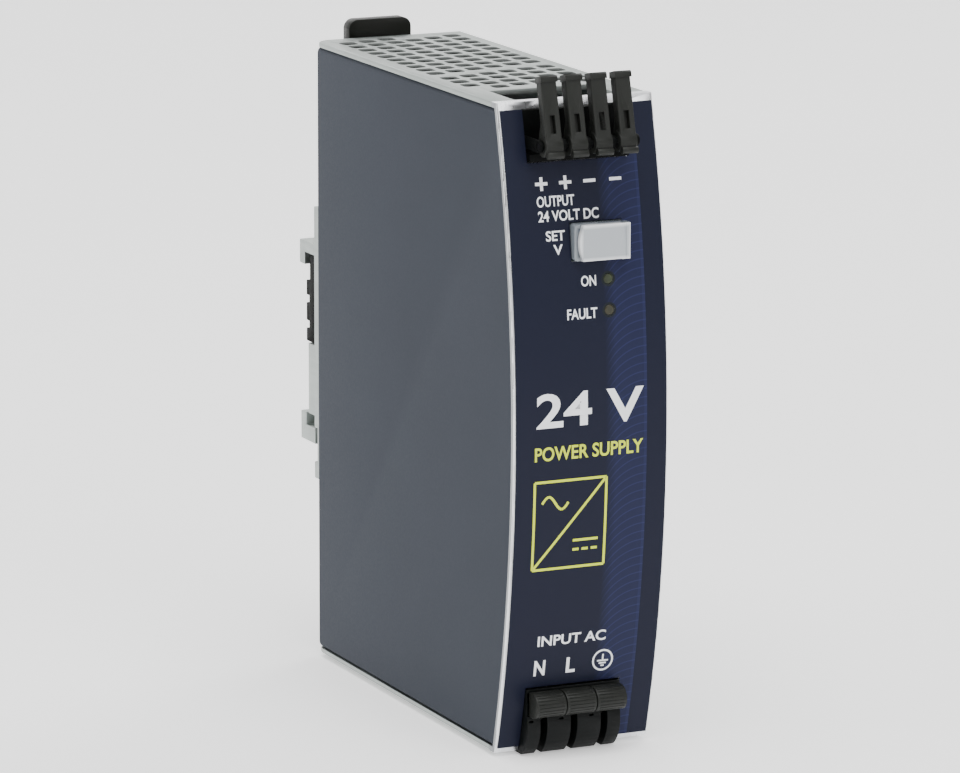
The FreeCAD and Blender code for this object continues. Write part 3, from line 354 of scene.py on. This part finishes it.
def slot_materials():
    """One finished material for each of the record's material slots."""
    made = {
        "coated_side": surface("slate_coat", (0.038, 0.043, 0.054), 0.62, 0.0, (35, 0.03),
                               (2600, 0.05, 0.03), shine=0.08),
        "zinc_cover": zinc_material("zinc_sheet", (0.36, 0.39, 0.375), 0.42),
        "front_metal": surface("bright_aluminium", (0.80, 0.81, 0.83), 0.30, 1.0, (25, 0.02),
                               (1800, 0.05, 0.004), stretch=(1, 1, 0.06)),
        "front_foil": foil_material(),
        "terminal_plastic": surface("black_polyamide", (0.002, 0.0028, 0.0028), 0.45,
                                    grain=MOULDED_GRAIN, shine=0.15),
        "lever_plastic": surface("charcoal_polyamide", (0.0125, 0.0135, 0.0118), 0.45,
                                 grain=MOULDED_GRAIN, shine=0.2),
        "slider_plastic": surface("slider_polyamide", (0.003, 0.0035, 0.002), 0.40,
                                  grain=(2500, 0.08, 0.02), shine=0.22),
        "steel_pins": surface("blackened_steel", (0.02, 0.02, 0.021), 0.4, 1.0),
        "steel_screws": surface("plated_screw", (0.62, 0.62, 0.6), 0.3, 1.0),
        "spring_steel": surface("spring_strip", (0.55, 0.55, 0.55), 0.3, 1.0),
        "tinned_copper": surface("tinned_strip", (0.68, 0.67, 0.64), 0.32, 1.0),
        "clear_plastic": surface("milky_polycarbonate", (0.42, 0.45, 0.48), 0.16, 0.0, (80, 0.02),
                                 (1200, 0.03, 0.001), through=0.25, coat=0.4, ior=1.58),
        "trimmer_plastic": surface("trimmer_blue", (0.03, 0.10, 0.42), 0.35),
        "trimmer_rotor": surface("trimmer_white", (0.8, 0.8, 0.77), 0.4),
        "circuit_board": surface("solder_mask", (0.02, 0.12, 0.05), 0.35, 0.0, (300, 0.25), coat=0.3),
        "ok_light": surface("green_pipe", (0.020, 0.027, 0.011), 0.35, blotch=(900, 0.3), shine=0.3),
        "fault_light": surface("amber_pipe", (0.024, 0.023, 0.012), 0.35, blotch=(900, 0.3), shine=0.3),
        "led_plastic": surface("clear_epoxy", (0.8, 0.8, 0.76), 0.15, through=0.5),
        "insulation_film": surface("aramid_sheet", (0.72, 0.71, 0.66), 0.6),
        "ferrite": surface("ferrite_grey", (0.05, 0.05, 0.055), 0.55, blotch=(500, 0.2),
                           grain=(1500, 0.1, 0.05)),
        "winding_tape": surface("yellow_tape", (0.75, 0.55, 0.05), 0.3, grain=(900, 0.05, 0.03),
                                stretch=(1, 1, 6)),
        "capacitor_sleeve": surface("dark_sleeve", (0.02, 0.03, 0.05), 0.3),
        "copper_wire": surface("enamelled_copper", (0.55, 0.20, 0.06), 0.3, 0.6, grain=(700, 0.05, 0.2)),
        "capacitor_box": surface("yellow_box", (0.72, 0.52, 0.06), 0.35),
        "fuse_glass": surface("fuse_tube", (0.9, 0.92, 0.92), 0.05, through=0.9),
        "component_epoxy": surface("black_epoxy", (0.02, 0.02, 0.022), 0.45),
        "heat_sink": surface("sink_aluminium", (0.75, 0.75, 0.76), 0.4, 1.0, stretch=(1, 1, 0.05)),
    }
    for part in frame["record"]["subparts"]:
        for place in frame["nodes"][part["node"]].material_slots:
            place.material = made[part["material_slot"]]
    return made


# ---------------------------------------------------------------- pieces made from the CAD nodes

BODY_OF = {node: body for body, nodes in frame["record"]["behaviour"]["bodies"].items() for node in nodes}
SLOT_OF = {part["node"]: part["material_slot"] for part in frame["record"]["subparts"]}
NARROWING = 0.9999          # keeps rounded copies inside the CAD's width
SHARP_FROM = 30.0           # degrees of turn from which an edge is rounded
MERGE_WITHIN = 0.002 * MM
FLAT_WITHIN = 0.6           # degrees of turn below which two faces are joined


def in_grille(face):
    """True for the wall of a punched slot in the cover's top or bottom."""
    sheet_from, reach_x, front_y = 60.9 * MM, 15.2 * MM, -80 * MM
    middle = face.calc_center_median()
    upright = abs(face.normal.z) < 0.3 and abs(middle.z) > sheet_from
    return upright and abs(middle.x) < reach_x and middle.y > front_y


def cut_side(face):
    """True for the sheared left and right edges of the front plate."""
    outermost = 15.9 * MM
    return abs(face.normal.x) > 0.9 and abs(face.calc_center_median().x) > outermost


def soften(node, width, skin=None, edge_test=None, edge_skin=None):
    """A copy of a CAD node with small rounded edges, shown in its place.

    width is in mm. skin is its material, if not its slot's, and edge_skin that of the faces that
    edge_test picks out.
    """
    source = frame["nodes"][node]
    work = bmesh.new()
    work.from_mesh(source.data)
    bmesh.ops.remove_doubles(work, verts=work.verts, dist=MERGE_WITHIN)
    bmesh.ops.dissolve_limit(work, angle_limit=math.radians(FLAT_WITHIN), verts=work.verts,
                             edges=work.edges)
    for corner in work.verts:
        corner.co.x *= NARROWING
    for face in work.faces:
        face.material_index = 1 if edge_test and edge_test(face) else 0
    mesh = bpy.data.meshes.new(f"{node}_soft")
    work.to_mesh(mesh)
    work.free()
    mesh.materials.append(skin or MATERIALS[SLOT_OF[node]])
    if edge_test:
        mesh.materials.append(edge_skin)
    piece = bpy.data.objects.new(f"{node}_soft", mesh)
    bpy.context.collection.objects.link(piece)
    mesh.shade_smooth()
    bevel = piece.modifiers.new("edges", "BEVEL")
    bevel.width = width * MM
    bevel.segments = 2
    bevel.limit_method = "ANGLE"
    bevel.angle_limit = math.radians(SHARP_FROM)
    bevel.miter_outer = "MITER_ARC"
    bevel.harden_normals = True
    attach(piece, BODY_OF[node])
    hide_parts(node)


def compressing_spring():
    """The latch's return spring, as its own copy of the CAD mesh, shown in place of the CAD node."""
    mesh = frame["nodes"]["slider_spring"].data.copy()
    mesh.materials.clear()
    mesh.materials.append(MATERIALS[SLOT_OF["slider_spring"]])
    piece = bpy.data.objects.new("slider_spring_coil", mesh)
    bpy.context.collection.objects.link(piece)
    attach(piece, BODY_OF["slider_spring"])
    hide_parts("slider_spring")
    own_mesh(piece)


# ---------------------------------------------------------------- printing on the curved front

PANEL_BULGE = 8.0 * MM
PANEL_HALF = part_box("front_plate")[1][2]
PANEL_RADIUS = (PANEL_BULGE ** 2 + PANEL_HALF ** 2) / (2 * PANEL_BULGE)
PANEL_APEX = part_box("front_foil")[0][1]
PRINT_REACH = 60            # mm above and below the middle within which everything is printed
INK_LIFT = 0.03 * MM


def panel_y(z):
    """Depth of the foil's face at a height."""
    return PANEL_APEX + PANEL_RADIUS - math.sqrt(PANEL_RADIUS ** 2 - z ** 2)


def wrap_to_panel(mesh):
    """Moves a flat outline in X and Y onto the front arc, with its Y as the height.

    A cut at every millimetre of height lets long strokes follow the arc.
    """
    work = bmesh.new()
    work.from_mesh(mesh)
    for i in range(-PRINT_REACH, PRINT_REACH + 1):
        bmesh.ops.bisect_plane(work, geom=work.verts[:] + work.edges[:] + work.faces[:],
                               plane_co=(0, i * MM, 0), plane_no=(0, 1, 0))
    work.to_mesh(mesh)
    work.free()
    for vertex in mesh.vertices:
        x, z = vertex.co.x, vertex.co.y
        vertex.co = Vector((x, panel_y(z) - INK_LIFT, z))


def print_piece(name, mesh, ink):
    mesh.materials.clear()
    mesh.materials.append(ink)
    piece = bpy.data.objects.new(name, mesh)
    bpy.context.collection.objects.link(piece)
    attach(piece, "housing")


def print_text(name, text, x, z, height, ink, width, weight):
    """Plain lettering from a lower left corner at x, z, with the capitals' height and the line's length.

    These are in mm, and weight thickens the strokes by a share of the letters' size.
    """
    curve = bpy.data.curves.new(name, "FONT")
    curve.body = text
    curve.size = 1.0
    curve.offset = weight
    curve.resolution_u = 4
    holder = bpy.data.objects.new(name, curve)
    bpy.context.collection.objects.link(holder)
    bpy.context.view_layer.update()
    mesh = bpy.data.meshes.new_from_object(holder.evaluated_get(bpy.context.evaluated_depsgraph_get()))
    bpy.data.objects.remove(holder)
    xs = [v.co.x for v in mesh.vertices]
    ys = [v.co.y for v in mesh.vertices]
    scale_x = width * MM / (max(xs) - min(xs))
    scale_y = height * MM / (max(ys) - min(ys))
    left, low = min(xs), min(ys)
    for vertex in mesh.vertices:
        across = (vertex.co.x - left) * scale_x + x * MM
        up = (vertex.co.y - low) * scale_y + z * MM
        vertex.co = Vector((across, up, 0))
    wrap_to_panel(mesh)
    print_piece(name, mesh, ink)


def print_shapes(name, outlines, ink):
    """Flat printed shapes from outlines of points in mm."""
    mesh = bpy.data.meshes.new(name)
    points, faces = [], []
    for outline in outlines:
        faces.append(range(len(points), len(points) + len(outline)))
        points += [(x * MM, z * MM, 0) for x, z in outline]
    mesh.from_pydata(points, [], faces)
    wrap_to_panel(mesh)
    print_piece(name, mesh, ink)


def bar(x0, z0, x1, z1):
    """Outline of a rectangle between two opposite corners."""
    return [(x0, z0), (x1, z0), (x1, z1), (x0, z1)]


def stroke(points, width):
    """Quads along a run of points, each a straight stroke of one width."""
    quads = []
    for (x0, z0), (x1, z1) in zip(points, points[1:]):
        length = math.hypot(x1 - x0, z1 - z0)
        nx, nz = -(z1 - z0) / length * width / 2, (x1 - x0) / length * width / 2
        quads.append([(x0 - nx, z0 - nz), (x1 - nx, z1 - nz), (x1 + nx, z1 + nz), (x0 + nx, z0 + nz)])
    return quads


def circle(x, z, radius, count=40):
    """Points round a circle, the first repeated at the end."""
    return [(x + radius * math.cos(2 * math.pi * i / count), z + radius * math.sin(2 * math.pi * i / count))
            for i in range(count + 1)]


def print_front(white, lime, rim):
    """All printing on the foil, from top to bottom; places and sizes are in mm."""
    dash_low, dash_high, dash_reach, stem_reach = 46.65, 47.25, 1.25, 0.3
    for i, x in enumerate((-8.5, -3.6)):
        dash = bar(x - dash_reach, dash_low, x + dash_reach, dash_high)
        below = bar(x - stem_reach, 45.7, x + stem_reach, dash_low - 0.01)
        above = bar(x - stem_reach, dash_high + 0.01, x + stem_reach, 48.2)
        print_shapes(f"plus_mark_{i + 1}", [dash, below, above], white)
    for i, x in enumerate((1.35, 6.7)):
        dash = bar(x - dash_reach, dash_low, x + dash_reach, dash_high)
        print_shapes(f"minus_mark_{i + 1}", [dash], white)
    print_text("legend_output", "OUTPUT", -9.7, 42.7, 2.0, white, 7.7, 0.02)
    print_text("legend_voltage", "24 VOLT DC", -9.6, 40.0, 2.0, white, 12.4, 0.02)
    print_text("legend_adjust_top", "SET", -8.3, 36.4, 1.9, white, 3.9, 0.02)
    print_text("legend_adjust_low", "V", -6.9, 33.8, 1.9, white, 1.9, 0.02)
    print_text("legend_ok", "ON", -1.6, 27.6, 2.0, white, 3.1, 0.02)
    print_text("legend_fault", "FAULT", -4.7, 21.6, 2.0, white, 6.2, 0.02)
    print_text("legend_rating", "24 V", -11.4, 1.6, 6.6, white, 22.2, 0.02)
    print_text("legend_supply", "POWER SUPPLY", -11.7, -4.6, 2.7, lime, 22.4, 0.02)
    print_text("legend_input", "INPUT AC", -9.4, -41.0, 2.1, white, 14.2, 0.02)
    print_text("legend_neutral", "N", -9.7, -46.9, 3.1, white, 2.3, 0.03)
    print_text("legend_line", "L", -3.0, -46.9, 3.1, white, 1.9, 0.03)
    earth_x, earth_z = 4.6, -45.1
    earth = stroke(circle(earth_x, earth_z, 2.0), 0.36)
    earth += stroke([(earth_x, earth_z + 1.2), (earth_x, earth_z - 0.1)], 0.32)
    for i, half in enumerate((1.15, 0.75, 0.35)):
        level = earth_z - 0.1 - 0.5 * i
        earth += stroke([(earth_x - half, level), (earth_x + half, level)], 0.3)
    print_shapes("earth_mark", earth, white)
    light_x, rim_radius, rim_width = 4.0, 1.22, 0.44
    for name, height in (("ok_light_rim", 28.7), ("fault_light_rim", 22.9)):
        print_shapes(name, stroke(circle(light_x, height, rim_radius), rim_width), rim)
    left, right, low, high, line = -11.6, 3.2, -25.6, -8.6, 0.5
    sign = stroke([(left, low), (right, low), (right, high), (left, high), (left, low), (right, high)], line)
    wave_x, wave_z, wave_length, wave_height, steps = left + 1.6, high - 4.2, 5.4, 1.3, 16
    wave = [(wave_x + wave_length * i / steps, wave_z + wave_height * math.sin(2 * math.pi * i / steps))
            for i in range(steps + 1)]
    sign += stroke(wave, line)
    dashes_x, dashes_z = right - 6.6, low + 3.4
    sign += stroke([(dashes_x, low + 5.2), (right - 1.4, low + 5.2)], line)
    for i in range(3):
        start = dashes_x + 1.9 * i
        sign += stroke([(start, dashes_z), (start + 1.3, dashes_z)], line)
    print_shapes("converter_mark", sign, lime)


# ---------------------------------------------------------------- build

MATERIALS = slot_materials()
add_camera()
add_studio()
add_floor()
soften("cover", 0.12, edge_test=in_grille, edge_skin=punched_material())
soften("side_body", 0.12)
# Darker aluminium on the front plate's sheared side faces: partly the duller cut edge, partly painted shade
# on faces turned from the light.
sheared = surface("sheared_aluminium_painted_shade", (0.30, 0.31, 0.32), 0.45, 1.0, (80, 0.05), (1800, 0.08, 0.01),
                  (1, 1, 4))
soften("front_plate", 0.12, edge_test=cut_side, edge_skin=sheared)
# Darker, duller copy of the black plastic: painted shade, so the output block reads black in the top opening
# and between the levers, and the rail guide reads black.
shaded_black = surface("black_polyamide_painted_shade", (0.0012, 0.0016, 0.0015), 0.6, grain=MOULDED_GRAIN,
                     shine=0.07)
for node in ("output_terminal_block", "rail_guide"):
    soften(node, 0.10, shaded_black)
soften("adjuster_flap", 0.10, lid_material())
# Darker copy of the milky clear plastic for the flap frame: painted shade for the frame in shadow beside the
# lid.
frame_shaded_plastic = surface("frame_polycarbonate_painted_shade", (0.24, 0.27, 0.30), 0.18, 0.0, (80, 0.03), (1200, 0.03, 0.001),
                     through=0.3, coat=0.4, ior=1.58)
soften("flap_frame", 0.10, frame_shaded_plastic)
for node in [f"output_lever_{i}" for i in range(1, 5)] + [f"input_lever_{i}" for i in range(1, 4)]:
    soften(node, 0.10)
for node in ("input_terminal_block", "release_slider", "foot_bracket", "latch_hook"):
    soften(node, 0.10)
compressing_spring()
white_ink = surface("white_ink", (0.86, 0.87, 0.90), 0.45, blotch=(400, 0.04), grain=(3000, 0.05, 0.01))
lime_ink = surface("lime_ink", (0.62, 0.72, 0.010), 0.45, blotch=(400, 0.04), grain=(3000, 0.05, 0.01))
light_rim = surface("light_rim", (0.0135, 0.0165, 0.0205), 0.4, blotch=(500, 0.1), shine=0.12)
print_front(white_ink, lime_ink, light_rim)
